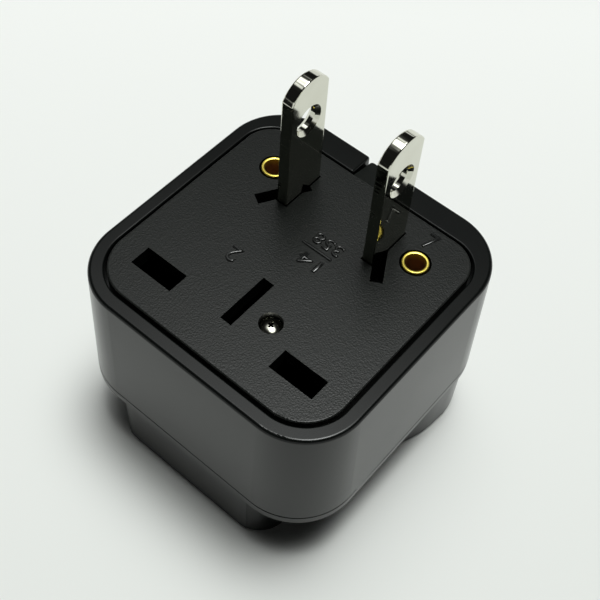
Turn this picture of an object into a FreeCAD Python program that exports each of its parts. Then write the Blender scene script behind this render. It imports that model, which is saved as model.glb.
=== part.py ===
import FreeCAD, Part
import math
import os

Vector = FreeCAD.Vector

# Travel plug adapter, standing on its socket face with the plug face and its two flat blades up.
# X runs across the two blades, +Y points to the side that has the plate's tongue, +Z is up.
# The origin is the middle of the socket face. All sizes are in millimetres.

# Overall form
rim_width = 36.7            # across the rim's flats at the top
rim_height = 27.8           # top of the rim above the socket face
parting_height = 10.4       # where the housing meets the socket cover
corner_radius = 7.6         # rim corners, in plan; they widen downwards with the draft
side_draft = 0.6            # how far each side leans out from the rim down to the parting line
wall = 1.8                  # housing wall
rim_edge_radius = 0.45      # rounded outer edge of the rim
part_clearance = 0.15       # between mouldings that slide together
cut_margin = 1.0            # how far a cut runs past the wall that it opens

# Plug face plate and the pocket it lies in
plate_thickness = 2.0
plate_proud = 0.2           # the plate stands this much above the rim
plate_gap = 0.35            # dark gap all round the plate
pocket_margin = 1.8         # width of the rim at the front and sides
back_land = 3.45            # width of the rim on the tongue's side
pocket_back_radius = 4.35   # the pocket's two corners on that side
edge_break = 0.2            # softened edges at the gap
notch_edge_radius = 0.3     # rounded ends of the rim at the notch
ledge_depth = 1.0           # the plate rests on this ledge
ledge_thickness = 1.5
tongue_width = 5.8
tongue_drop = 0.75          # the tongue slopes down by this much towards the outside
tongue_root = 1.0           # the tongue's root inside the plate
tongue_setback = 0.1        # its end lies this much inside the housing's side

# Flat blades for the wall outlet
blade_spacing = 12.7
blade_thickness = 1.5
blade_width = 6.2
blade_length = 17.8         # above the rim
blade_from_back = 9.9       # from the rim's back to the middle of the blades
blade_tip_rise = 1.8        # height of the round at the tip
blade_edge_radius = 0.2
blade_hole_diameter = 3.2
blade_hole_height = 11.9    # above the rim
blade_hole_chamfer = 0.45
tenon_width = 4.0
blade_clearance = 0.1

# Other openings of the plug face
tube_spacing = 21.0
tube_from_back = 9.4
tube_diameter = 3.5
tube_bore = 2.3
tube_proud = 0.15           # the tube ends stand this much above the plate
tube_edge_radius = 0.15
tube_clearance = 0.1
angled_slot_spacing = 14.4
angled_slot_from_back = 11.65
angled_slot_length = 6.7
angled_slot_width = 1.5
angled_slot_turn = 30.0     # degrees from the Y axis
angled_pocket_depth = 3.0   # how far the angled slots go on into the carrier
window_side = 3.5           # from the side of the pocket to the end of a window
window_y = -11.0
window_length = 5.9
window_width = 2.75
earth_slot_y = -7.65
earth_slot_length = 7.1
earth_slot_width = 1.55

# Case screw
screw_x = 3.8
screw_y = -8.1
screw_hole_diameter = 2.8
screw_head_diameter = 2.6
screw_head_height = 1.3
screw_head_radius = 0.3     # rounded edge of the head
screw_shank_diameter = 1.5
screw_length = 9.5          # under the head
screw_head_depth = 2.0      # head below the top of the rim
screw_clearance = 0.05      # round the thread in the boss
shank_clearance = 0.15      # round the thread in the well's floor
well_wall = 1.1
well_floor = 1.2
boss_diameter = 4.6
rib_thickness = 1.2

# Socket cover
face_thickness = 2.4
cover_inset = 0.35          # cover's walls inside the housing's lower edge
flange_thickness = 1.0
flange_inset = 0.12
lip_height = 2.0
lip_thickness = 1.4
grip_depth = 2.1            # how far each finger grip draws in from the cover's side
grip_curve_length = 11.0    # the curve from a grip out to the full width
grip_curve_land = 0.6       # straight side between that curve and the back corner
grip_curve_pull = 0.45      # share of the curve's length that its ends run straight
grip_wall = 1.6
foot_edge_radius = 0.5

# Openings of the socket face, for the plugs of several countries
flat_pin_from_back = 9.35
flat_pin_slot = (2.6, 7.8)
round_pin_spacing = 19.0
round_pin_from_back = 8.75
round_pin_hole = 5.0
block_pin_spacing = 22.2
block_pin_slot = (7.0, 4.6)
block_earth_distance = 22.2
block_earth_slot = (4.5, 8.5)
slanted_pin_spacing = 13.7
slanted_pin_from_back = 11.65
slanted_pin_slot = (2.0, 7.0)
slanted_earth_distance = 14.3
slanted_earth_slot = (2.0, 7.0)
round_earth_distance = 11.9
round_earth_hole = 5.0

# Cells that hold the springs, and the metal in them
cell_wall = 1.0
cell_side_gap = 0.4         # between the cell's outer wall and the housing
cell_leaf_gap = 0.6         # between the cell's inner wall and the leaf spring
cell_front_reach = 3.9      # in front of the slanted pins' centre line
cell_back_gap = 0.2         # behind the pinch spring
cell_radius = 1.5
strip_thickness = 1.0
strip_width = 6.0
strip_bearing = 0.9         # how far a strip lies on the cell's end walls
strip_end_radius = 1.0
spring_thickness = 0.4
spring_bend = 0.8
spring_mouth_height = 4.8
pinch_side_gap = 1.1        # between the pinch spring and the cell's outer wall
pinch_leaf_gap = 0.6        # between the two springs
pinch_reach = 3.2           # from the pins' centre line to each leg at the web
pinch_gap = 2.8             # between the legs where they grip
pinch_mouth_flare = 1.7     # the legs' mouth is this much wider than their grip
pinch_height = 9.5
leaf_width = 5.6
leaf_root_offset = 1.95     # from the blade's middle to the leaf's root
leaf_grip_offset = 1.05     # and to the place where it presses on a pin
tenon_flare = 0.3           # staked ends stand out by this much
tube_flare = 0.2

# Insulating carrier
carrier_height = 4.8        # from the contact strips up to the plate
carrier_clearance = 0.3     # inside the ledge
carrier_front_y = -3.6
carrier_front_radius = 1.5
carrier_deck = 1.8
carrier_wall = 1.2

# Heights that follow from the sizes above
plate_floor = rim_height - plate_thickness
plate_top = rim_height + plate_proud
ledge_bottom = plate_floor - ledge_thickness
strip_top = plate_floor - carrier_height
cell_top = strip_top - strip_thickness
web_bottom = cell_top - spring_thickness
head_top = rim_height - screw_head_depth
head_seat = head_top - screw_head_height
well_bottom = head_seat - well_floor

# Places that follow, from the middle of the socket face
rim_back = rim_width / 2
corner_centre = rim_back - corner_radius
pocket_side = rim_back - pocket_margin
blade_x = blade_spacing / 2
blade_y = rim_back - blade_from_back
tube_x = tube_spacing / 2
tube_y = rim_back - tube_from_back
angled_slot_y = rim_back - angled_slot_from_back
window_x = pocket_side - window_side - window_length / 2
flat_pin_y = rim_back - flat_pin_from_back
round_pin_y = rim_back - round_pin_from_back
slanted_pin_y = rim_back - slanted_pin_from_back
leaf_root_x = blade_x - leaf_root_offset
leaf_end_x = blade_x + blade_thickness / 2 + 2 * tenon_flare


def rounded_rectangle(x_low, x_high, y_low, y_high, radius, z, back_radius=None):
    """Closed outline with round corners, lying at height z, with its own radius at the back."""
    largest = 0.49 * min(x_high - x_low, y_high - y_low)
    front = min(radius, largest)
    back = min(back_radius or radius, largest)
    corners = [(x_high - front, y_low + front, front, -90), (x_high - back, y_high - back, back, 0),
               (x_low + back, y_high - back, back, 90), (x_low + front, y_low + front, front, 180)]
    arcs = [arc_edge(x, y, r, start, start + 90, z) for x, y, r, start in corners]
    return closed_outline(arcs)


def arc_edge(x, y, radius, start, end, z):
    """Arc about (x, y) between two angles in degrees."""
    points = []
    for angle in (start, 0.5 * (start + end), end):
        turn = math.radians(angle)
        points.append(Vector(x + radius * math.cos(turn), y + radius * math.sin(turn), z))
    return Part.Arc(*points).toShape()


def closed_outline(edges):
    """Join edges that follow one another round a loop with straight lines."""
    loop = []
    for edge, following in zip(edges, edges[1:] + edges[:1]):
        loop.append(edge)
        end = edge.valueAt(edge.LastParameter)
        start = following.valueAt(following.FirstParameter)
        if end.distanceToPoint(start) > 1e-6:
            loop.append(Part.makeLine(end, start))
    return Part.Wire(loop)


def prism(outline, height):
    """Solid that stands on a flat outline."""
    return Part.Face(outline).extrude(Vector(0, 0, height))


def block(x_low, x_high, y_low, y_high, z_low, z_high):
    """Plain box between limits."""
    size = (x_high - x_low, y_high - y_low, z_high - z_low)
    return Part.makeBox(*size, Vector(x_low, y_low, z_low))


def slot(x, y, size, turn, z_low, z_high):
    """Rectangular pin opening about (x, y), turned by an angle in degrees."""
    body = block(-size[0] / 2, size[0] / 2, -size[1] / 2, size[1] / 2, z_low, z_high)
    body.rotate(Vector(0, 0, 0), Vector(0, 0, 1), turn)
    body.translate(Vector(x, y, 0))
    return body


def rod(x, y, diameter, z_low, z_high):
    """Upright cylinder."""
    return Part.makeCylinder(diameter / 2, z_high - z_low, Vector(x, y, z_low))


def mirrored(shape):
    """The same piece on the other side of the middle plane."""
    return shape.mirror(Vector(0, 0, 0), Vector(1, 0, 0))


def both_sides(shape):
    """A feature and its mirror image."""
    return [shape, mirrored(shape)]


def edges_at(shape, z):
    """Edges that lie flat at a height."""
    return [e for e in shape.Edges
            if abs(e.BoundBox.ZMin - z) < 1e-4 and abs(e.BoundBox.ZMax - z) < 1e-4]


def share_down(z):
    """Share of the way from the rim down to the parting line."""
    return (rim_height - z) / (rim_height - parting_height)


def half_width_at(z):
    """Half the housing's outside width at a height."""
    return rim_back + side_draft * share_down(z)


def square_outline(inset, z):
    """The housing's outline at the parting line, set in, and drawn at a height."""
    half = half_width_at(parting_height) - inset
    return rounded_rectangle(-half, half, -half, half, half - corner_centre, z)


def drafted_body(z_low, z_high, inset):
    """Drafted square body with conical corners, set in from the housing's outside."""
    low = half_width_at(z_low) - inset
    high = half_width_at(z_high) - inset
    y = -corner_centre
    section = [Vector(-low, y, z_low), Vector(low, y, z_low),
               Vector(high, y, z_high), Vector(-high, y, z_high)]
    slab = Part.Face(Part.makePolygon(section + section[:1])).extrude(Vector(0, 2 * corner_centre, 0))
    crossing = slab.copy()
    crossing.rotate(Vector(0, 0, 0), Vector(0, 0, 1), 90)
    radii = (low - corner_centre, high - corner_centre)
    corners = [Part.makeCone(*radii, z_high - z_low, Vector(x, y, z_low))
               for x in (-corner_centre, corner_centre) for y in (-corner_centre, corner_centre)]
    return slab.fuse([crossing] + corners).removeSplitter()


def pocket_outline(inset, z):
    """Outline of the plate's pocket in the rim, or of what lies in it."""
    half = pocket_side - inset
    back = rim_back - back_land - inset
    radius = corner_radius - pocket_margin - inset
    return rounded_rectangle(-half, half, -half, back, radius, z, pocket_back_radius - inset)


def main_housing():
    """Square sleeve with the rim, the plate's ledge and the notch for its tongue."""
    outside = drafted_body(parting_height, rim_height, 0)
    outside = outside.makeFillet(rim_edge_radius, edges_at(outside, rim_height))
    cavity = drafted_body(parting_height, ledge_bottom, wall)
    pocket = prism(pocket_outline(0, plate_floor), plate_thickness)
    ledge_opening = prism(pocket_outline(ledge_depth, ledge_bottom), ledge_thickness)
    half_notch = tongue_width / 2 + plate_gap
    notch = block(-half_notch, half_notch, 0, rim_width, plate_floor, rim_height)
    body = outside.cut([cavity, pocket, ledge_opening, notch])
    outer_ends = [e for e in body.Edges if is_notch_end(e, half_notch)]
    body = body.makeFillet(notch_edge_radius, outer_ends)
    inner_rim = [e for e in edges_at(body, rim_height) if is_inside_rim(e)]
    return body.makeFillet(edge_break, inner_rim)


def is_notch_end(edge, half_notch):
    """True for the upright edges where the housing's outside ends at the notch."""
    box = edge.BoundBox
    at_side = abs(abs(box.Center.x) - half_notch) < 1e-4 and box.XLength < 1e-4
    return at_side and box.YMin > rim_back - rim_edge_radius and box.ZLength > rim_edge_radius


def is_inside_rim(edge):
    """True for the rim's edges that look at the gap round the plate."""
    box = edge.BoundBox
    side = pocket_side + 0.01
    back = rim_back - back_land + 0.01
    return max(abs(box.XMin), abs(box.XMax)) < side and box.YMin > -side and box.YMax < back


def tongue():
    """Tongue of the plate, sloping down to the housing's outside."""
    start = rim_back - back_land - plate_gap - tongue_root
    end = half_width_at(plate_floor) - tongue_setback
    profile = [Vector(0, start, plate_floor), Vector(0, end, plate_floor),
               Vector(0, end, rim_height - tongue_drop), Vector(0, start, plate_top)]
    side = Part.Face(Part.makePolygon(profile + profile[:1]))
    body = side.extrude(Vector(tongue_width, 0, 0))
    body.translate(Vector(-tongue_width / 2, 0, 0))
    outer = [e for e in body.Edges if e.BoundBox.YMin > end - 1e-4 and e.BoundBox.ZLength > 0.1]
    return body.makeFillet(tongue_drop / 2, outer)


def plug_face_plate():
    """Plate with every slot and hole of the plug face, its tongue and the screw well."""
    body = prism(pocket_outline(plate_gap, plate_floor), plate_top - plate_floor)
    body = body.makeFillet(edge_break, edges_at(body, plate_top))
    well_diameter = screw_hole_diameter + 2 * well_wall
    well = rod(screw_x, screw_y, well_diameter, well_bottom, plate_floor)
    body = body.fuse([tongue(), well]).removeSplitter()
    low = plate_floor - cut_margin
    high = plate_top + cut_margin
    openings = both_sides(blade_opening(low, high))
    openings += both_sides(angled_slot(low, high))
    openings += both_sides(rod(tube_x, tube_y, tube_diameter + 2 * tube_clearance, low, high))
    openings += both_sides(slot(window_x, window_y, (window_length, window_width), 0, low, high))
    openings.append(slot(0, earth_slot_y, (earth_slot_width, earth_slot_length), 0, low, high))
    openings.append(rod(screw_x, screw_y, screw_hole_diameter, head_seat, high))
    shank_hole = screw_shank_diameter + 2 * shank_clearance
    openings.append(rod(screw_x, screw_y, shank_hole, well_bottom, head_seat))
    return body.cut(openings)


def blade_opening(z_low, z_high):
    """Upright slot that the right-hand blade passes."""
    size = (blade_thickness + 2 * blade_clearance, blade_width + 2 * blade_clearance)
    return slot(blade_x, blade_y, size, 0, z_low, z_high)


def angled_slot(z_low, z_high):
    """Slanted slot that crosses the right-hand blade."""
    size = (angled_slot_width, angled_slot_length)
    return slot(angled_slot_spacing / 2, angled_slot_y, size, angled_slot_turn, z_low, z_high)


def contact_carrier():
    """Insulating moulding between the plate and the contact strips."""
    inset = ledge_depth + carrier_clearance
    half = pocket_side - inset
    back = rim_back - back_land - inset
    front = rounded_rectangle(-half, half, carrier_front_y, rim_width, carrier_front_radius, strip_top)
    body = prism(pocket_outline(inset, strip_top), carrier_height)
    body = body.common(prism(front, carrier_height))
    under_deck = plate_floor - carrier_deck
    inner = blade_x - blade_thickness / 2 - carrier_wall
    pockets = [block(-inner, inner, carrier_front_y + carrier_wall, back - carrier_wall,
                     strip_top, under_deck)]
    tower_front = angled_slot_y - angled_slot_length / 2 - carrier_wall
    pockets += both_sides(block(inner + carrier_wall, half - carrier_wall,
                                carrier_front_y + carrier_wall, tower_front, strip_top, under_deck))
    pockets += both_sides(blade_opening(strip_top, plate_floor))
    pockets += both_sides(angled_slot(plate_floor - angled_pocket_depth, plate_floor))
    tube_hole = tube_diameter + 2 * tube_clearance
    pockets += both_sides(rod(tube_x, tube_y, tube_hole, strip_top, plate_floor))
    return body.cut(pockets)


def grip_outline(z):
    """Plan of the socket cover: square at the tongue's side, drawn in to two grips in front."""
    half = half_width_at(parting_height) - cover_inset
    grip = half - grip_depth
    radius = half - corner_centre
    end = half - radius - grip_curve_land
    start = end - grip_curve_length
    pull = grip_curve_pull * grip_curve_length
    poles = [Vector(grip, start, z), Vector(grip, start + pull, z),
             Vector(half, end - pull, z), Vector(half, end, z)]
    right = bezier_edge(poles)
    left = bezier_edge([Vector(-p.x, p.y, z) for p in reversed(poles)])
    edges = [arc_edge(grip - radius, radius - half, radius, -90, 0, z), right,
             arc_edge(half - radius, half - radius, radius, 0, 90, z),
             arc_edge(radius - half, half - radius, radius, 90, 180, z), left,
             arc_edge(radius - grip, radius - half, radius, 180, 270, z)]
    return closed_outline(edges)


def bezier_edge(poles):
    """Smooth curve with the given control points."""
    curve = Part.BezierCurve()
    curve.setPoles(poles)
    return curve.toShape()


def pole_opening(z_low, z_high):
    """Openings of the right-hand pole, for flat, slanted, round and block pins."""
    return [slot(blade_x, flat_pin_y, flat_pin_slot, 0, z_low, z_high),
            slot(slanted_pin_spacing / 2, slanted_pin_y, slanted_pin_slot, angled_slot_turn, z_low, z_high),
            rod(round_pin_spacing / 2, round_pin_y, round_pin_hole, z_low, z_high),
            slot(block_pin_spacing / 2, round_pin_y, block_pin_slot, 0, z_low, z_high)]


def earth_opening(z_low, z_high):
    """Openings on the middle line for block, flat and round earth pins."""
    block_y = round_pin_y - block_earth_distance
    flat_y = slanted_pin_y - slanted_earth_distance
    round_y = flat_pin_y - round_earth_distance
    return [slot(0, block_y, block_earth_slot, 0, z_low, z_high),
            slot(0, flat_y, slanted_earth_slot, 0, z_low, z_high),
            rod(0, round_y, round_earth_hole, z_low, z_high)]


def cell_sides():
    """Inside limits of the right-hand cell across the adapter."""
    outer = half_width_at(cell_top) - wall - cell_side_gap - cell_wall
    return leaf_root_x - cell_leaf_gap, outer


def cell(growth, z_low, z_high):
    """Right-hand cell round a pole's springs, as a solid, grown outwards."""
    x_low, x_high = cell_sides()
    y_low = slanted_pin_y - cell_front_reach
    y_high = round_pin_y + pinch_reach + spring_thickness / 2 + cell_back_gap
    outline = rounded_rectangle(x_low - growth, x_high + growth, y_low - growth, y_high + growth,
                                cell_radius + growth, z_low)
    return prism(outline, z_high - z_low)


def socket_cover():
    """Lower moulding: socket face, grips, flange and lip, spring cells and screw boss."""
    flange_bottom = parting_height - flange_thickness
    lip_top = parting_height + lip_height
    body = prism(grip_outline(0), parting_height)
    body = body.makeFillet(foot_edge_radius, edges_at(body, 0))
    flange = square_outline(flange_inset, flange_bottom)
    lip_inset = wall + part_clearance
    lip = square_outline(lip_inset, flange_bottom)
    body = body.fuse([prism(flange, flange_thickness), prism(lip, flange_thickness + lip_height)])
    inside_x = half_width_at(parting_height) - cover_inset - grip_depth - grip_wall
    inside_y = half_width_at(parting_height) - lip_inset - lip_thickness
    hollow = rounded_rectangle(-inside_x, inside_x, -inside_y, inside_y, inside_y - corner_centre,
                               face_thickness)
    body = body.cut(prism(hollow, lip_top - face_thickness))
    rib = block(screw_x - rib_thickness / 2, screw_x + rib_thickness / 2, -inside_y, screw_y, 0, lip_top)
    towers = both_sides(cell(cell_wall, face_thickness / 2, cell_top))
    towers += [rod(screw_x, screw_y, boss_diameter, face_thickness / 2, well_bottom),
               rib.common(prism(hollow, lip_top - face_thickness))]
    body = body.fuse(towers).removeSplitter()
    openings = both_sides(cell(0, face_thickness, cell_top))
    for opening in pole_opening(-cut_margin, face_thickness + cut_margin):
        openings += both_sides(opening)
    openings += earth_opening(-cut_margin, rim_height)
    pilot = screw_shank_diameter + 2 * screw_clearance
    pilot_bottom = head_seat - screw_length - cut_margin
    openings.append(rod(screw_x, screw_y, pilot, pilot_bottom, well_bottom))
    return body.cut(openings).removeSplitter()


def blade():
    """Right-hand blade with its round tip, its hole and the tenon staked under the strip."""
    half = blade_width / 2
    top = rim_height + blade_length
    shoulder = top - blade_tip_rise
    low = strip_top
    tip = Part.Arc(Vector(0, half, shoulder), Vector(0, 0, top), Vector(0, -half, shoulder)).toShape()
    sides = [Part.makeLine(Vector(0, -half, shoulder), Vector(0, -half, low)),
             Part.makeLine(Vector(0, -half, low), Vector(0, half, low)),
             Part.makeLine(Vector(0, half, low), Vector(0, half, shoulder))]
    body = Part.Face(Part.Wire([tip] + sides)).extrude(Vector(blade_thickness, 0, 0))
    body.translate(Vector(-blade_thickness / 2, 0, 0))
    outer_edges = [e for e in body.Edges if e.BoundBox.ZLength > 0.5 * blade_tip_rise]
    body = body.makeFillet(blade_edge_radius, outer_edges)
    hole_height = rim_height + blade_hole_height
    hole = Part.makeCylinder(blade_hole_diameter / 2, 2 * blade_thickness,
                             Vector(-blade_thickness, 0, hole_height), Vector(1, 0, 0))
    small = blade_hole_diameter / 2
    big = small + blade_hole_chamfer
    cone = Part.makeCone(small, big, blade_hole_chamfer,
                         Vector(blade_thickness / 2 - blade_hole_chamfer, 0, hole_height), Vector(1, 0, 0))
    body = body.cut([hole] + both_sides(cone))
    tenon = block(-blade_thickness / 2, blade_thickness / 2, -tenon_width / 2, tenon_width / 2,
                  web_bottom, low)
    flare = block(-blade_thickness / 2 - tenon_flare, blade_thickness / 2 + tenon_flare,
                  -tenon_width / 2 - tenon_flare, tenon_width / 2 + tenon_flare,
                  web_bottom - tenon_flare, web_bottom)
    body = body.fuse([tenon, flare]).removeSplitter()
    body.translate(Vector(blade_x, blade_y, 0))
    return body


def tenon_hole(z_low, z_high):
    """Hole that the right-hand blade's tenon fills."""
    return slot(blade_x, blade_y, (blade_thickness, tenon_width), 0, z_low, z_high)


def spigot_diameter():
    """Outside of the tube's thinner lower end."""
    return 0.5 * (tube_diameter + tube_bore)


def round_tube():
    """Right-hand brass tube, staked through the strip and the pinch spring."""
    tube_top = plate_top + tube_proud
    foot = web_bottom - tube_flare
    body = rod(tube_x, tube_y, tube_diameter, strip_top, tube_top)
    spigot = rod(tube_x, tube_y, spigot_diameter(), web_bottom, strip_top)
    flare = rod(tube_x, tube_y, spigot_diameter() + 2 * tube_flare, foot, web_bottom)
    body = body.fuse([spigot, flare]).removeSplitter()
    body = body.makeFillet(tube_edge_radius, edges_at(body, tube_top))
    return body.cut(rod(tube_x, tube_y, tube_bore, foot - cut_margin, tube_top + cut_margin))


def contact_strip():
    """Right-hand brass strip that lies across its cell and joins blade, tube and springs."""
    x_low, x_high = cell_sides()
    middle = 0.5 * (blade_y + round_pin_y)
    outline = rounded_rectangle(x_low - strip_bearing, x_high + strip_bearing,
                                middle - strip_width / 2, middle + strip_width / 2,
                                strip_end_radius, cell_top)
    body = prism(outline, strip_thickness)
    spigot_hole = rod(tube_x, tube_y, spigot_diameter(), cell_top, strip_top)
    return body.cut([tenon_hole(cell_top, strip_top), spigot_hole])


def bent_sheet(points, thickness, width_vector):
    """Sheet metal bent along points with rounded bends, as wide as a vector."""
    edges = []
    start = points[0]
    for before, corner, after in zip(points, points[1:], points[2:]):
        back = (before - corner).normalize()
        ahead = (after - corner).normalize()
        half_turn = 0.5 * back.getAngle(ahead)
        reach = spring_bend / math.tan(half_turn)
        entry = corner + back * reach
        leave = corner + ahead * reach
        centre = corner + (back + ahead).normalize() * (spring_bend / math.sin(half_turn))
        middle = centre + (corner - centre).normalize() * spring_bend
        edges.append(Part.makeLine(start, entry))
        edges.append(Part.Arc(entry, middle, leave).toShape())
        start = leave
    edges.append(Part.makeLine(start, points[-1]))
    path = Part.Wire(edges)
    along = (points[1] - points[0]).normalize()
    across = along.cross(width_vector).normalize() * (thickness / 2)
    half = width_vector * 0.5
    first = points[0]
    section = Part.makePolygon([first + across + half, first - across + half, first - across - half,
                                first + across - half, first + across + half])
    return path.makePipeShell([section], True, False)


def pinch_spring():
    """Right-hand spring with two legs that grip round and block pins."""
    web_z = cell_top - spring_thickness / 2
    inner = leaf_end_x + pinch_leaf_gap
    outer = cell_sides()[1] - pinch_side_gap
    x = 0.5 * (inner + outer)
    grip = pinch_gap / 2 + spring_thickness / 2
    points = []
    for side in (-1, 1):
        leg = [Vector(x, round_pin_y + side * grip * pinch_mouth_flare, spring_mouth_height),
               Vector(x, round_pin_y + side * grip, pinch_height),
               Vector(x, round_pin_y + side * pinch_reach, web_z)]
        points += leg if side < 0 else leg[::-1]
    body = bent_sheet(points, spring_thickness, Vector(outer - inner, 0, 0))
    return body.cut(rod(tube_x, tube_y, spigot_diameter(), web_bottom, cell_top))


def leaf_spring():
    """Right-hand leaf that presses on a flat pin, held under the strip by the blade's tenon."""
    web_z = cell_top - spring_thickness / 2
    points = [Vector(leaf_end_x, blade_y, web_z), Vector(leaf_root_x, blade_y, web_z),
              Vector(blade_x - leaf_grip_offset, blade_y, pinch_height),
              Vector(leaf_root_x, blade_y, spring_mouth_height)]
    body = bent_sheet(points, spring_thickness, Vector(0, leaf_width, 0))
    return body.cut(tenon_hole(web_bottom, cell_top))


def case_screw():
    """Small screw through the plate's well into the cover's boss."""
    head = rod(screw_x, screw_y, screw_head_diameter, head_seat, head_top)
    head = head.makeFillet(screw_head_radius, edges_at(head, head_top))
    shank = rod(screw_x, screw_y, screw_shank_diameter, head_seat - screw_length, head_seat)
    return head.fuse(shank).removeSplitter()


def export(name, shape):
    """Write one piece."""
    shape.exportStep("parts/" + name + ".step")


os.makedirs("parts", exist_ok=True)
export("main_housing", main_housing())
export("plug_face_plate", plug_face_plate())
export("socket_cover", socket_cover())
export("contact_carrier", contact_carrier())
export("case_screw", case_screw())
paired = {"blade": blade, "round_tube": round_tube, "contact_strip": contact_strip,
          "pinch_spring": pinch_spring, "leaf_spring": leaf_spring}
for piece, make in paired.items():
    right = make()
    export(piece + "_right", right)
    export(piece + "_left", mirrored(right))
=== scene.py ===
import bpy
import math
from mathutils import Matrix, Vector


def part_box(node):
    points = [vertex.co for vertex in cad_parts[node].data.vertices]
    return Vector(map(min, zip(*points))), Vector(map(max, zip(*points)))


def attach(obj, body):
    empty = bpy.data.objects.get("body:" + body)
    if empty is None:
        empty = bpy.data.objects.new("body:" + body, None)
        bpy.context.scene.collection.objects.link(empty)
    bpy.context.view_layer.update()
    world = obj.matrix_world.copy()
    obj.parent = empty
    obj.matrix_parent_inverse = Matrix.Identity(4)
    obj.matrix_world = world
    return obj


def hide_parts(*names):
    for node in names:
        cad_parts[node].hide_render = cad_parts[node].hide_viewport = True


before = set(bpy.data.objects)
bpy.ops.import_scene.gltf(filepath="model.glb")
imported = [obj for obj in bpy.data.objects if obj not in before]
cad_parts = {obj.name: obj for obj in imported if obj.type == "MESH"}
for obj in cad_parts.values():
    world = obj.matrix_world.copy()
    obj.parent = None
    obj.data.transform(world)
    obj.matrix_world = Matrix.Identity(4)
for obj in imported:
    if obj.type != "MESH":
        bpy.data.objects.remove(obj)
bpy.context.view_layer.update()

# Camera
# The photograph looks down at the near corner from about 55 degrees. The lens and the place follow
# from the vanishing points of the rim's straight edges.
MM = 0.001
CAMERA_LENS = 64.4
CAMERA_PLACE = Vector((43.4, -57.7, 124.3)) * MM
CAMERA_TURN = (34.63, -2.91, 40.21)
camera_data = bpy.data.cameras.new("camera")
camera_data.lens = CAMERA_LENS
camera_data.clip_start = 1 * MM
camera = bpy.data.objects.new("camera", camera_data)
camera.location = CAMERA_PLACE
camera.rotation_euler = [math.radians(angle) for angle in CAMERA_TURN]
bpy.context.scene.collection.objects.link(camera)
bpy.context.scene.camera = camera


# Housing
# The drafted sleeve with the rim is moulded in black ABS in a polished mould. It looks like satin
# gloss: nearly black, with soft clear reflections and a faint waviness where the wall cooled.
ABS_BLACK = "#090B0A"
ABS_BLACK_WORN = "#0F1110"
ABS_IOR = 1.32


def to_linear(hex_colour):
    """Linear colour of an sRGB hex value."""
    parts = [int(hex_colour[i:i + 2], 16) / 255 for i in (1, 3, 5)]
    return [c / 12.92 if c <= 0.04045 else ((c + 0.055) / 1.055) ** 2.4 for c in parts] + [1]


def add_node(tree, kind, settings, inputs):
    """Add a node with its settings, and set or link its inputs."""
    made = tree.nodes.new(kind)
    for name, value in settings.items():
        setattr(made, name, value)
    for name, value in inputs.items():
        socket = made.inputs[name]
        if isinstance(value, bpy.types.NodeSocket):
            tree.links.new(value, socket)
        else:
            socket.default_value = value
    return made


def start_material(name):
    """Empty node material, with its tree and the object's own coordinates."""
    material = bpy.data.materials.new(name)
    material.use_nodes = True
    tree = material.node_tree
    tree.nodes.clear()
    place = add_node(tree, "ShaderNodeTexCoord", {}, {}).outputs["Object"]
    return material, tree, place


def finish_material(tree, inputs):
    """Surface shader with these inputs, led to the output."""
    shader = add_node(tree, "ShaderNodeBsdfPrincipled", {}, inputs)
    add_node(tree, "ShaderNodeOutputMaterial", {}, {"Surface": shader.outputs["BSDF"]})


def dress(node_name, material):
    """Give a CAD node its material."""
    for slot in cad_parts[node_name].material_slots:
        slot.material = material


def grain_scale(size_mm):
    """Texture scale that gives features of a size in millimetres."""
    return 1 / (size_mm * MM)


def satin_abs(name, roughness_low, roughness_high, ior=ABS_IOR):
    """Moulded ABS from a polished mould: even black, slight change of gloss, faint waviness."""
    material, tree, place = start_material(name)
    clouds = add_node(tree, "ShaderNodeTexNoise", {}, {
        "Vector": place, "Scale": grain_scale(9.0), "Detail": 3.0, "Roughness": 0.5})
    colour = add_node(tree, "ShaderNodeMix", {"data_type": "RGBA"}, {
        "Factor": clouds.outputs["Fac"], 6: to_linear(ABS_BLACK), 7: to_linear(ABS_BLACK_WORN)})
    gloss = add_node(tree, "ShaderNodeMapRange", {}, {
        "Value": clouds.outputs["Fac"], "To Min": roughness_low, "To Max": roughness_high})
    grain = add_node(tree, "ShaderNodeTexNoise", {}, {
        "Vector": place, "Scale": grain_scale(0.5), "Detail": 2.0, "Roughness": 0.6})
    bump = add_node(tree, "ShaderNodeBump", {}, {
        "Height": grain.outputs["Fac"], "Strength": 0.04, "Distance": 0.01 * MM})
    finish_material(tree, {
        "Base Color": colour.outputs[2], "Roughness": gloss.outputs["Result"], "IOR": ior,
        "Normal": bump.outputs["Normal"]})
    return material


dress("main_housing", satin_abs("satin_abs_housing", 0.16, 0.24))


# Plug face plate
# A separate ABS moulding that lies in the rim. Its mould face is spark eroded, which gives a fine
# dry grain that sparkles where light grazes it. Such a grain is usually about 0.1 mm wide, and it is
# drawn at 0.2 mm so that it shows.
PLATE_BLACK = "#0B0D0C"
PLATE_BLACK_HIGH = "#151815"
PLATE_ROUGHNESS = 0.3
PLATE_IOR = 1.34


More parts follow.
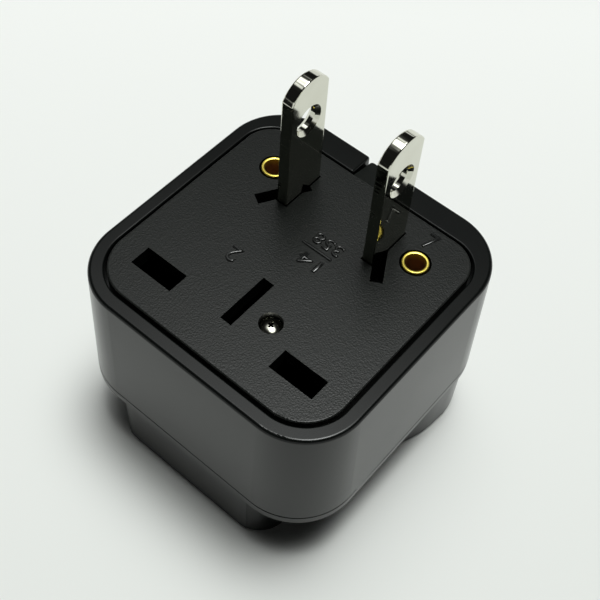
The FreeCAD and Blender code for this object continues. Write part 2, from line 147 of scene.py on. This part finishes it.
def spark_eroded_abs(name):
    """Spark-eroded ABS: matte black with fine grains that catch the light."""
    material, tree, place = start_material(name)
    grains = add_node(tree, "ShaderNodeTexNoise", {}, {
        "Vector": place, "Scale": grain_scale(0.16), "Detail": 2.0, "Roughness": 0.7})
    pits = add_node(tree, "ShaderNodeTexVoronoi", {}, {
        "Vector": place, "Scale": grain_scale(0.2), "Randomness": 1.0})
    height = add_node(tree, "ShaderNodeMath", {"operation": "ADD"}, {
        0: grains.outputs["Fac"], 1: pits.outputs["Distance"]})
    colour = add_node(tree, "ShaderNodeMix", {"data_type": "RGBA"}, {
        "Factor": grains.outputs["Fac"], 6: to_linear(PLATE_BLACK), 7: to_linear(PLATE_BLACK_HIGH)})
    bump = add_node(tree, "ShaderNodeBump", {}, {
        "Height": height.outputs["Value"], "Strength": 0.6, "Distance": 0.02 * MM})
    finish_material(tree, {
        "Base Color": colour.outputs[2], "Roughness": PLATE_ROUGHNESS, "IOR": PLATE_IOR,
        "Normal": bump.outputs["Normal"]})
    return material


dress("plug_face_plate", spark_eroded_abs("spark_eroded_abs_plate"))


# Raised numbers
# Plain numbers moulded on the plate, and the bar between two of them. They are polished in the
# mould, so their rounded edges catch the light. They read from the far side of the plate, all but
# the one beside the right tube.
NUMBER_RISE = 0.2 * MM
NUMBER_ROUNDING = 0.13 * MM
NUMBER_THINNING = -0.07 * MM     # moves the outline in, because the rounding moves it out
NUMBER_FOOT = 0.2 * MM           # half thickness before the rounding, most of it in the plate
NUMBER_SIZE_SHARE = 1.4          # size of the type for each unit of digit height
NUMBER_MERGE = 0.002 * MM
NUMBER_IOR = 1.5
HALF_TURN = math.pi
TOUCH = 0.01 * MM                # points this near to a place count as lying on it
LEVEL = 0.99                     # least upright part of a level face's normal
PLATE_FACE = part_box("plug_face_plate")[1][2]
number_finish = satin_abs("polished_abs_numbers", 0.12, 0.18, ior=NUMBER_IOR)


def settle_mark(mark, width, height, x, y, turn=HALF_TURN):
    """Size a raised mark, turn it and stand it on the plate."""
    bpy.ops.object.mode_set(mode="EDIT")
    bpy.ops.mesh.select_all(action="SELECT")
    bpy.ops.mesh.remove_doubles(threshold=NUMBER_MERGE)
    bpy.ops.transform.resize(value=(width / mark.dimensions.x, height / mark.dimensions.y, 1.0),
                             center_override=(0, 0, 0))
    bpy.ops.transform.rotate(value=turn, orient_axis="Z", center_override=(0, 0, 0))
    bpy.ops.transform.translate(value=(x, y, PLATE_FACE))
    bpy.ops.mesh.normals_make_consistent(inside=False)
    bpy.ops.object.mode_set(mode="OBJECT")
    mark.data.materials.clear()
    mark.data.materials.append(number_finish)
    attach(mark, "root")


def raise_number(name, digits, width, height, x, y, turn=HALF_TURN):
    """Digits with rounded edges, as wide and high as given, centred on a place."""
    bpy.ops.object.select_all(action="DESELECT")
    bpy.ops.object.text_add(location=(0, 0, 0))
    number = bpy.context.active_object
    number.name = name
    number.data.body = digits
    number.data.align_x = "CENTER"
    number.data.align_y = "CENTER"
    number.data.size = height * NUMBER_SIZE_SHARE
    number.data.offset = NUMBER_THINNING
    number.data.extrude = NUMBER_FOOT
    number.data.bevel_depth = NUMBER_ROUNDING
    number.data.bevel_resolution = 3
    number.data.resolution_u = 4
    bpy.ops.object.convert(target="MESH")
    number = bpy.context.active_object
    middle = (Vector(number.bound_box[0]) + Vector(number.bound_box[6])) / 2
    rise = NUMBER_RISE - number.bound_box[6][2]
    number.data.transform(Matrix.Translation((-middle.x, -middle.y, rise)))
    settle_mark(number, width, height, x, y, turn)


def select_level(piece, height):
    """Select a mesh's faces that lie level at a height, and nothing else."""
    bpy.ops.mesh.select_mode(type="FACE")
    bpy.ops.mesh.select_all(action="DESELECT")
    bpy.ops.object.mode_set(mode="OBJECT")
    for face in piece.data.polygons:
        face.select = abs(face.center.z - height) < TOUCH and abs(face.normal.z) > LEVEL
    bpy.ops.object.mode_set(mode="EDIT")


def raise_bar(name, length, width, x, y):
    """A plain bar with a rounded top, centred on a place."""
    bpy.ops.object.select_all(action="DESELECT")
    bpy.ops.mesh.primitive_cube_add(size=1.0)
    bar = bpy.context.active_object
    bar.name = name
    bpy.ops.object.mode_set(mode="EDIT")
    bpy.ops.transform.resize(value=(length, width, 2 * NUMBER_RISE))
    select_level(bar, NUMBER_RISE)
    bpy.ops.mesh.bevel(offset=NUMBER_ROUNDING, segments=4)
    bpy.ops.object.mode_set(mode="OBJECT")
    bpy.context.view_layer.update()
    settle_mark(bar, length, width, x, y)


raise_number("number_far", "358", 3.9 * MM, 1.75 * MM, 1.6 * MM, 4.25 * MM)
raise_number("number_near", "14", 2.9 * MM, 1.75 * MM, 1.55 * MM, 0.95 * MM)
raise_number("number_left", "2", 1.5 * MM, 2.2 * MM, -5.45 * MM, -3.95 * MM)
raise_number("number_right", "7", 1.35 * MM, 2.5 * MM, 10.05 * MM, 12.5 * MM, turn=0.0)
raise_bar("number_bar", 4.2 * MM, 0.36 * MM, 1.2 * MM, 2.74 * MM)


# Socket cover
# The lower moulding with the socket face, of the same ABS as the housing. Its front is narrower
# than its back, and each side runs out from a small front corner in one long curve, as a grip for
# finger and thumb. Its flange lies flush under the housing, with a fine dark gap between the two.
COVER_SIDE = 18.6 * MM           # half width at the back, and the front's distance from the middle
FRONT_CORNER_X = 8.65 * MM       # where the front corners begin
SOLID_SIDE = 16.5 * MM           # the solid's half width at the front, drawn in to the grip's
SOLID_CORNER_RADIUS = 7.85 * MM
SOLID_CURVE = (-0.85 * MM, 11.0 * MM)    # where the solid's side starts to run out, and how long
GRIP_SIDE = 12.65 * MM
GRIP_CORNER_RADIUS = 4.0 * MM
GRIP_CURVE = (-14.6 * MM, 26.0 * MM)
GRIP_CUT_STEP = 1.0 * MM
GRIP_ROW = 0.2 * MM
GRIP_LEAST_CHANGE = 0.005 * MM
GRIP_DRAFT = 0.12 * MM           # the drafted wall stands up to this far outside its outline
FRONT_INSET = 0.02 * MM          # keeps the foremost row off the very end of the corner's arc
HOLLOW_SIDE = 14.95 * MM
HOLLOW_TOP = 12.45 * MM
FLANGE_BOTTOM = 9.4 * MM
FLANGE_DROP = 0.3 * MM
FLANGE_CORNER = 10.75 * MM       # where the flange's corner arcs are centred, along X and Y
FLANGE_INSIDE = 8.0 * MM         # points nearer than this to there aren't on its outer edge
FLANGE_GROWTH = 1.0058           # brings it out flush with the housing
PARTING_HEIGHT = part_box("main_housing")[0][2]
PARTING_GAP = 0.25 * MM
PARTING_TAPER = 0.968            # draws its upper edge in, which leaves the dark gap
PARTING_CREASE = math.radians(30)
NODE_MERGE = 0.001 * MM          # a CAD node's loose triangles join within this


def copy_node(node_name, name):
    """Copy a CAD node's mesh into a new piece that stands for it, with its doubles merged."""
    piece = bpy.data.objects.new(name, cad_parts[node_name].data.copy())
    bpy.context.scene.collection.objects.link(piece)
    bpy.ops.object.select_all(action="DESELECT")
    piece.select_set(True)
    bpy.context.view_layer.objects.active = piece
    bpy.ops.mesh.customdata_custom_splitnormals_clear()
    bpy.ops.object.mode_set(mode="EDIT")
    bpy.ops.mesh.select_all(action="SELECT")
    bpy.ops.mesh.remove_doubles(threshold=NODE_MERGE)
    bpy.ops.mesh.select_mode(type="VERT")
    bpy.ops.object.mode_set(mode="OBJECT")
    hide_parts(node_name)
    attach(piece, "root")
    return piece


def select_points(piece, is_chosen):
    """Select the mesh points whose place is chosen, and enter edit mode."""
    bpy.ops.object.mode_set(mode="EDIT")
    bpy.ops.mesh.select_all(action="DESELECT")
    bpy.ops.object.mode_set(mode="OBJECT")
    for point in piece.data.vertices:
        point.select = is_chosen(point.co)
    bpy.ops.object.mode_set(mode="EDIT")


def half_width(y, side, corner_radius, curve_start, curve_length):
    """Half width of a grip outline at a place along it, from front corner to full width."""
    corner_middle = corner_radius - COVER_SIDE
    reach = min(max(corner_middle - y, 0.0), corner_radius)
    share = min(max((y - curve_start) / curve_length, 0.0), 1.0)
    run_out = (COVER_SIDE - side) * share * share * (3 - 2 * share)
    return side - corner_radius + math.sqrt(corner_radius ** 2 - reach ** 2) + run_out


def on_flange(place):
    """Tell whether a point lies on the outer edge of the flange."""
    beyond = [max(abs(part) - FLANGE_CORNER, 0.0) for part in place.xy]
    return math.hypot(*beyond) > FLANGE_INSIDE and place.z > FLANGE_BOTTOM - FLANGE_DROP - TOUCH


def in_grip_row(place, row, side, reach):
    """Tell whether a point of the cover's wall, outside or in its hollow, lies in a grip row."""
    below = place.z < FLANGE_BOTTOM + TOUCH
    inside = side * place.x < HOLLOW_SIDE and place.z < HOLLOW_TOP
    across = FRONT_CORNER_X < side * place.x < reach
    return round(place.y / GRIP_ROW) == row and across and (below or inside)


cover = copy_node("socket_cover", "grip_cover")
bpy.ops.object.mode_set(mode="EDIT")
for cut in range(int(GRIP_CURVE[1] / GRIP_CUT_STEP) + 1):
    bpy.ops.mesh.select_all(action="SELECT")
    bpy.ops.mesh.bisect(plane_co=(0, GRIP_CURVE[0] + cut * GRIP_CUT_STEP, 0), plane_no=(0, 1, 0))
bpy.ops.object.mode_set(mode="OBJECT")

# The grips are drawn in row by row. Each row of points is scaled along X from where the corner
# begins, so the wall keeps its draft and its rounded foot.
rows = sorted({round(point.co.y / GRIP_ROW) for point in cover.data.vertices})
for row in rows:
    row_y = max(row * GRIP_ROW, FRONT_INSET - COVER_SIDE)
    solid = half_width(row_y, SOLID_SIDE, SOLID_CORNER_RADIUS, *SOLID_CURVE)
    drawn = half_width(row_y, GRIP_SIDE, GRIP_CORNER_RADIUS, *GRIP_CURVE)
    if row * GRIP_ROW < -COVER_SIDE - GRIP_ROW / 2 or solid - drawn < GRIP_LEAST_CHANGE:
        continue
    share = (drawn - FRONT_CORNER_X) / (solid - FRONT_CORNER_X)
    for side in (-1, 1):
        select_points(cover, lambda place: in_grip_row(place, row, side, solid + GRIP_DRAFT))
        bpy.ops.transform.resize(value=(share, 1.0, 1.0),
                                 center_override=(side * FRONT_CORNER_X, 0, 0))
        bpy.ops.object.mode_set(mode="OBJECT")

# The flange is made deeper and flush, and its upper edge tapers away from the housing.
select_points(cover, lambda place: abs(place.z - FLANGE_BOTTOM) < TOUCH)
bpy.ops.transform.translate(value=(0, 0, -FLANGE_DROP))
bpy.ops.mesh.select_all(action="SELECT")
bpy.ops.mesh.bisect(plane_co=(0, 0, PARTING_HEIGHT - PARTING_GAP), plane_no=(0, 0, 1))
bpy.ops.object.mode_set(mode="OBJECT")
select_points(cover, on_flange)
bpy.ops.transform.resize(value=(FLANGE_GROWTH, FLANGE_GROWTH, 1.0), center_override=(0, 0, 0))
bpy.ops.object.mode_set(mode="OBJECT")
select_points(cover, lambda place: on_flange(place) and place.z > PARTING_HEIGHT - TOUCH)
bpy.ops.transform.resize(value=(PARTING_TAPER, PARTING_TAPER, 1.0), center_override=(0, 0, 0))
bpy.ops.object.mode_set(mode="OBJECT")
bpy.ops.object.shade_smooth_by_angle(angle=PARTING_CREASE)
even_faces = cover.modifiers.new("even_faces", "WEIGHTED_NORMAL")
even_faces.keep_sharp = True
bpy.ops.object.modifier_apply(modifier=even_faces.name)
cover.data.materials.clear()
cover.data.materials.append(satin_abs("satin_abs_cover", 0.18, 0.26))


# Contact carrier
# Insulating inner moulding, seen only through the openings of the plug face.
dress("contact_carrier", spark_eroded_abs("matte_abs_carrier"))


# Blades
# Stamped brass with a bright nickel plating, slightly warm. The plating mirrors its surroundings
# with faint fine marks, and its stamped edges keep the marks of the punch. Those are drawn at
# 0.55 mm, coarser than real ones, so that they show.
NICKEL = "#DCDCD0"
NICKEL_SHADE = "#CFCEC0"


def bright_nickel(name, punch_depth):
    """Bright nickel plating: warm mirror, and punch marks where a stamped edge was cut."""
    material, tree, place = start_material(name)
    along_cut = add_node(tree, "ShaderNodeMapping", {}, {"Vector": place, "Scale": (0.12, 1.0, 1.0)})
    cuts = add_node(tree, "ShaderNodeTexNoise", {}, {
        "Vector": along_cut.outputs["Vector"], "Scale": grain_scale(0.55), "Detail": 1.0})
    outward = add_node(tree, "ShaderNodeNewGeometry", {}, {}).outputs["Normal"]
    outward_parts = add_node(tree, "ShaderNodeSeparateXYZ", {}, {"Vector": outward})
    across = add_node(tree, "ShaderNodeMath", {"operation": "ABSOLUTE"}, {
        0: outward_parts.outputs["X"]})
    is_edge = add_node(tree, "ShaderNodeMapRange", {}, {
        "Value": across.outputs["Value"], "From Min": 0.2, "From Max": 0.7,
        "To Min": 1.0, "To Max": 0.0})
    cut_bump = add_node(tree, "ShaderNodeBump", {}, {
        "Height": cuts.outputs["Fac"], "Strength": is_edge.outputs["Result"],
        "Distance": punch_depth})
    marks = add_node(tree, "ShaderNodeTexNoise", {}, {
        "Vector": place, "Scale": grain_scale(0.35), "Detail": 3.0})
    clouds = add_node(tree, "ShaderNodeTexNoise", {}, {
        "Vector": place, "Scale": grain_scale(3.0), "Detail": 2.0})
    colour = add_node(tree, "ShaderNodeMix", {"data_type": "RGBA"}, {
        "Factor": clouds.outputs["Fac"], 6: to_linear(NICKEL), 7: to_linear(NICKEL_SHADE)})
    gloss = add_node(tree, "ShaderNodeMapRange", {}, {
        "Value": marks.outputs["Fac"], "To Min": 0.05, "To Max": 0.1})
    bump = add_node(tree, "ShaderNodeBump", {}, {
        "Height": marks.outputs["Fac"], "Strength": 0.03, "Distance": 0.01 * MM,
        "Normal": cut_bump.outputs["Normal"]})
    finish_material(tree, {
        "Base Color": colour.outputs[2], "Metallic": 1.0, "Roughness": gloss.outputs["Result"],
        "Normal": bump.outputs["Normal"]})
    return material


blade_finish = bright_nickel("bright_nickel_blades", 0.06 * MM)
for side in ("left", "right"):
    dress("blade_" + side, blade_finish)


# Round tubes
# Drawn brass tubes, turned at the ends, bare yellow metal whose colour turns browner from the plate's
# face down the bore.
# Above the strips that they are staked to they are thin-walled, so a narrow ring with rounded
# edges shows in the plate.
BRASS = "#F4E272"
BRASS_DULL = "#D6BC50"
BRASS_BORE_BROWN = "#B8946E"
BORE_BROWN_DEPTH = 1.0 * MM
TUBE_RADIUS = 1.58 * MM
TUBE_MOUTH_RADIUS = 1.22 * MM
TUBE_MOUTH_ROUNDING = 0.12 * MM
TUBE_CREASE = math.radians(30)
SPIGOT_RADIUS = 1.45 * MM        # outside of the thinner lower end, which keeps its size


def turned_brass(name):
    """Turned brass: yellow metal with soft gloss and duller patches, browner from the plate's face
    down.
    """
    material, tree, place = start_material(name)
    clouds = add_node(tree, "ShaderNodeTexNoise", {}, {
        "Vector": place, "Scale": grain_scale(0.8), "Detail": 3.0})
    colour = add_node(tree, "ShaderNodeMix", {"data_type": "RGBA"}, {
        "Factor": clouds.outputs["Fac"], 6: to_linear(BRASS), 7: to_linear(BRASS_DULL)})
    height = add_node(tree, "ShaderNodeSeparateXYZ", {}, {"Vector": place})
    openness = add_node(tree, "ShaderNodeMapRange", {}, {
        "Value": height.outputs["Z"], "From Min": PLATE_FACE - BORE_BROWN_DEPTH, "From Max": PLATE_FACE})
    # The colour turns browner from the plate's face to 1 mm under it, and stays so below.
    bore_browned = add_node(tree, "ShaderNodeMix", {"data_type": "RGBA"}, {
        "Factor": openness.outputs["Result"], 6: to_linear(BRASS_BORE_BROWN), 7: colour.outputs[2]})
    gloss = add_node(tree, "ShaderNodeMapRange", {}, {
        "Value": clouds.outputs["Fac"], "To Min": 0.3, "To Max": 0.4})
    finish_material(tree, {
        "Base Color": bore_browned.outputs[2], "Metallic": 1.0, "Roughness": gloss.outputs["Result"]})
    return material


def from_axis(place, axis):
    """Distance of a point from the upright axis through another."""
    return (place.xy - axis.xy).length


brass_finish = turned_brass("turned_brass_tubes")
for side in ("left", "right"):
    dress("contact_strip_" + side, brass_finish)
    strip_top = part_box("contact_strip_" + side)[1][2]
    tube_low, tube_high = (Vector(corner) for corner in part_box("round_tube_" + side))
    mouth = Vector(((tube_low.x + tube_high.x) / 2, (tube_low.y + tube_high.y) / 2, tube_high.z))
    tube = copy_node("round_tube_" + side, "thin_brass_tube_" + side)
    radii = [from_axis(point.co, mouth) for point in tube.data.vertices]
    select_points(tube, lambda place: place.z > strip_top - TOUCH
                  and from_axis(place, mouth) > SPIGOT_RADIUS + TOUCH)
    thinning = TUBE_RADIUS / max(radii)
    bpy.ops.transform.resize(value=(thinning, thinning, 1.0), center_override=mouth)
    select_points(tube, lambda place: place.z > mouth.z - TOUCH
                  and from_axis(place, mouth) < TUBE_MOUTH_RADIUS)
    widening = TUBE_MOUTH_RADIUS / min(radii)
    bpy.ops.transform.resize(value=(widening, widening, 1.0), center_override=mouth)
    bpy.ops.mesh.bevel(offset=TUBE_MOUTH_ROUNDING, segments=2, affect="EDGES")
    bpy.ops.object.mode_set(mode="OBJECT")
    bpy.ops.object.shade_smooth_by_angle(angle=TUBE_CREASE)
    tube.data.materials.clear()
    tube.data.materials.append(brass_finish)


# Springs
# Stamped and bent spring bronze, redder than the brass.
BRONZE = "#C98F52"
BRONZE_DULL = "#9A6636"
bronze_finish, bronze_tree, bronze_place = start_material("spring_bronze")
bronze_clouds = add_node(bronze_tree, "ShaderNodeTexNoise", {}, {
    "Vector": bronze_place, "Scale": grain_scale(1.2), "Detail": 3.0})
bronze_colour = add_node(bronze_tree, "ShaderNodeMix", {"data_type": "RGBA"}, {
    "Factor": bronze_clouds.outputs["Fac"], 6: to_linear(BRONZE), 7: to_linear(BRONZE_DULL)})
finish_material(bronze_tree, {
    "Base Color": bronze_colour.outputs[2], "Metallic": 1.0, "Roughness": 0.25})
for side in ("left", "right"):
    dress("pinch_spring_" + side, bronze_finish)
    dress("leaf_spring_" + side, bronze_finish)


# Case screw
# Small nickel-plated steel screw that holds plate and cover together. The dome of its head has a
# cross recess and ends just under the plate's face.
SCREW_SHANK_RADIUS = 0.75 * MM
SCREW_SEAT = 24.5 * MM
SCREW_TOP = 27.65 * MM
SCREW_DOME_RADIUS = 2.2 * MM
SCREW_POINT = 1.2 * MM
SCREW_POINT_SHARE = 0.15         # width of the blunt point's end, of the shank's
SCREW_CREASE = math.radians(35)
SCREW_SEGMENTS = 64
RECESS_LENGTH = 1.0 * MM
RECESS_WIDTH = 0.34 * MM
RECESS_DEPTH = 0.8 * MM
RECESS_FOOT_SHARE = (0.5, 0.7, 1.0)      # how the recess narrows to its foot, along and across
RECESS_TURN = math.radians(3)
QUARTER_TURN = math.pi / 2
screw_low, screw_high = (Vector(corner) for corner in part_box("case_screw"))
screw_middle = (screw_low + screw_high) / 2
screw_radius = (screw_high.x - screw_low.x) / 2
dome_middle = SCREW_TOP - SCREW_DOME_RADIUS
dome_edge = dome_middle + math.sqrt(SCREW_DOME_RADIUS ** 2 - screw_radius ** 2)
bpy.ops.object.select_all(action="DESELECT")
bpy.ops.mesh.primitive_uv_sphere_add(segments=SCREW_SEGMENTS, ring_count=SCREW_SEGMENTS,
                                     radius=SCREW_DOME_RADIUS)
screw = bpy.context.active_object
screw.name = "cross_head_screw"
bpy.ops.object.mode_set(mode="EDIT")
bpy.ops.mesh.select_all(action="SELECT")
bpy.ops.transform.translate(value=(screw_middle.x, screw_middle.y, dome_middle))
# Known fault: this cut takes every ring within 0.1 mm of its plane as lying on it, so it closes the
# dome above dome_edge and leaves an open brim below. The steps after it find no face there, and
# the piece ends as the dome alone, without a shank. A threshold of 0.001 * MM here mends it.
bpy.ops.mesh.bisect(plane_co=(0, 0, dome_edge), plane_no=(0, 0, 1), use_fill=True, clear_inner=True)
select_level(screw, dome_edge)
bpy.ops.mesh.extrude_region_move(TRANSFORM_OT_translate={"value": (0, 0, SCREW_SEAT - dome_edge)})
bpy.ops.mesh.inset(thickness=screw_radius - SCREW_SHANK_RADIUS)
shank_length = SCREW_SEAT - screw_low.z
bpy.ops.mesh.extrude_region_move(
    TRANSFORM_OT_translate={"value": (0, 0, SCREW_POINT - shank_length)})
bpy.ops.mesh.extrude_region_move(TRANSFORM_OT_translate={"value": (0, 0, -SCREW_POINT)})
bpy.ops.transform.resize(value=(SCREW_POINT_SHARE, SCREW_POINT_SHARE, 1.0),
                         center_override=(screw_middle.x, screw_middle.y, screw_low.z))
bpy.ops.object.mode_set(mode="OBJECT")

for turn in (RECESS_TURN, RECESS_TURN + QUARTER_TURN):
    bpy.ops.object.select_all(action="DESELECT")
    bpy.ops.mesh.primitive_cube_add(size=1.0)
    cutter = bpy.context.active_object
    bpy.ops.object.mode_set(mode="EDIT")
    bpy.ops.transform.resize(value=(RECESS_LENGTH, RECESS_WIDTH, 2 * RECESS_DEPTH))
    select_level(cutter, -RECESS_DEPTH)
    bpy.ops.transform.resize(value=RECESS_FOOT_SHARE)
    bpy.ops.mesh.select_all(action="SELECT")
    bpy.ops.transform.rotate(value=turn, orient_axis="Z", center_override=(0, 0, 0))
    bpy.ops.transform.translate(value=(screw_middle.x, screw_middle.y, SCREW_TOP))
    bpy.ops.object.mode_set(mode="OBJECT")
    recess = screw.modifiers.new("recess", "BOOLEAN")
    recess.operation = "DIFFERENCE"
    recess.object = cutter
    bpy.ops.object.select_all(action="DESELECT")
    bpy.context.view_layer.objects.active = screw
    bpy.ops.object.modifier_apply(modifier=recess.name)
    bpy.data.objects.remove(cutter)
screw.select_set(True)
bpy.ops.object.shade_smooth_by_angle(angle=SCREW_CREASE)
screw.data.materials.append(bright_nickel("bright_nickel_screw", 0.002 * MM))
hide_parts("case_screw")
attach(screw, "root")


# Floor
# Plain pale board that the adapter stands on. Its colour is painted darker toward the camera, a
# painted falloff of the light.
# The near colour is the far one with painted shade, for light that falls off toward the camera.
FLOOR_FAR = "#F8F9F7"
FLOOR_NEAR = "#E5E7E4"
FLOOR_NEAR_PLACE = 45.0 * MM
FLOOR_FAR_PLACE = -75.0 * MM
FLOOR_SIZE = 3.0
FLOOR_GAP = 0.02 * MM            # so that it doesn't lie in the same plane as the socket face
bpy.ops.object.select_all(action="DESELECT")
bpy.ops.mesh.primitive_plane_add(size=FLOOR_SIZE, location=(0, 0, -FLOOR_GAP))
floor = bpy.context.active_object
floor.name = "floor"
floor_finish, floor_tree, floor_place = start_material("pale_board")
nearness = add_node(floor_tree, "ShaderNodeVectorMath", {"operation": "DOT_PRODUCT"}, {
    0: floor_place, 1: Vector((CAMERA_PLACE.x, CAMERA_PLACE.y, 0)).normalized()})
# Painted falloff of light: the board's colour darkens from the far colour to the near one toward the
# camera.
painted_falloff = add_node(floor_tree, "ShaderNodeMapRange", {}, {
    "Value": nearness.outputs["Value"], "From Min": FLOOR_FAR_PLACE, "From Max": FLOOR_NEAR_PLACE})
floor_colour = add_node(floor_tree, "ShaderNodeMix", {"data_type": "RGBA"}, {
    "Factor": painted_falloff.outputs["Result"], 6: to_linear(FLOOR_FAR), 7: to_linear(FLOOR_NEAR)})
finish_material(floor_tree, {
    "Base Color": floor_colour.outputs[2], "Roughness": 0.7, "Specular IOR Level": 0.2})
floor.data.materials.append(floor_finish)


# Light
# A soft box overhead and a wider, dimmer glow on its left, as in a light tent. Each falls off
# smoothly from its middle. The pale walls low round the adapter are seen by the eye and by glossy
# surfaces, and the floor keeps the shadow of the adapter.
LIGHTS = (  # direction, strength at the middle, how fast it falls off
    (Vector((0.04, 0.16, 1.0)), 31.0, 75.0),
    (Vector((-0.28, 0.26, 1.0)), 4.0, 40.0))
SURROUNDINGS = 0.01
HORIZON = 0.85
HORIZON_LOW = 0.14
HORIZON_HIGH = 0.34
LIGHT_TINT = (0.975, 1.0, 0.98, 1)
world = bpy.data.worlds.new("light_tent")
world.use_nodes = True
bpy.context.scene.world = world
sky = world.node_tree
sky.nodes.clear()
direction = add_node(sky, "ShaderNodeTexCoord", {}, {}).outputs["Generated"]
overhead = SURROUNDINGS
for light_direction, strength, falloff in LIGHTS:
    towards_light = add_node(sky, "ShaderNodeVectorMath", {"operation": "DOT_PRODUCT"}, {
        0: direction, 1: light_direction.normalized()})
    facing = add_node(sky, "ShaderNodeMath", {"operation": "MAXIMUM"}, {
        0: towards_light.outputs["Value"], 1: 0.0})
    lobe = add_node(sky, "ShaderNodeMath", {"operation": "POWER"}, {
        0: facing.outputs["Value"], 1: falloff})
    overhead = add_node(sky, "ShaderNodeMath", {"operation": "MULTIPLY_ADD"}, {
        0: lobe.outputs["Value"], 1: strength, 2: overhead}).outputs["Value"]
rise = add_node(sky, "ShaderNodeSeparateXYZ", {}, {"Vector": direction})
horizon = add_node(sky, "ShaderNodeMapRange", {"interpolation_type": "SMOOTHSTEP"}, {
    "Value": rise.outputs["Z"], "From Min": HORIZON_LOW, "From Max": HORIZON_HIGH,
    "To Min": HORIZON, "To Max": 0.0})
rays = add_node(sky, "ShaderNodeLightPath", {}, {})
seen_or_mirrored = add_node(sky, "ShaderNodeMath", {"operation": "MAXIMUM"}, {
    0: rays.outputs["Is Camera Ray"], 1: rays.outputs["Is Glossy Ray"]})
shown = add_node(sky, "ShaderNodeMath", {"operation": "MAXIMUM"}, {
    0: seen_or_mirrored.outputs["Value"], 1: rays.outputs["Is Transmission Ray"]})
walls = add_node(sky, "ShaderNodeMath", {"operation": "MULTIPLY"}, {
    0: horizon.outputs["Result"], 1: shown.outputs["Value"]})
brightness = add_node(sky, "ShaderNodeMath", {"operation": "MAXIMUM"}, {
    0: overhead, 1: walls.outputs["Value"]})
background = add_node(sky, "ShaderNodeBackground", {}, {
    "Color": LIGHT_TINT, "Strength": brightness.outputs["Value"]})
add_node(sky, "ShaderNodeOutputWorld", {}, {"Surface": background.outputs["Background"]})

bpy.context.scene.view_settings.view_transform = "Standard"
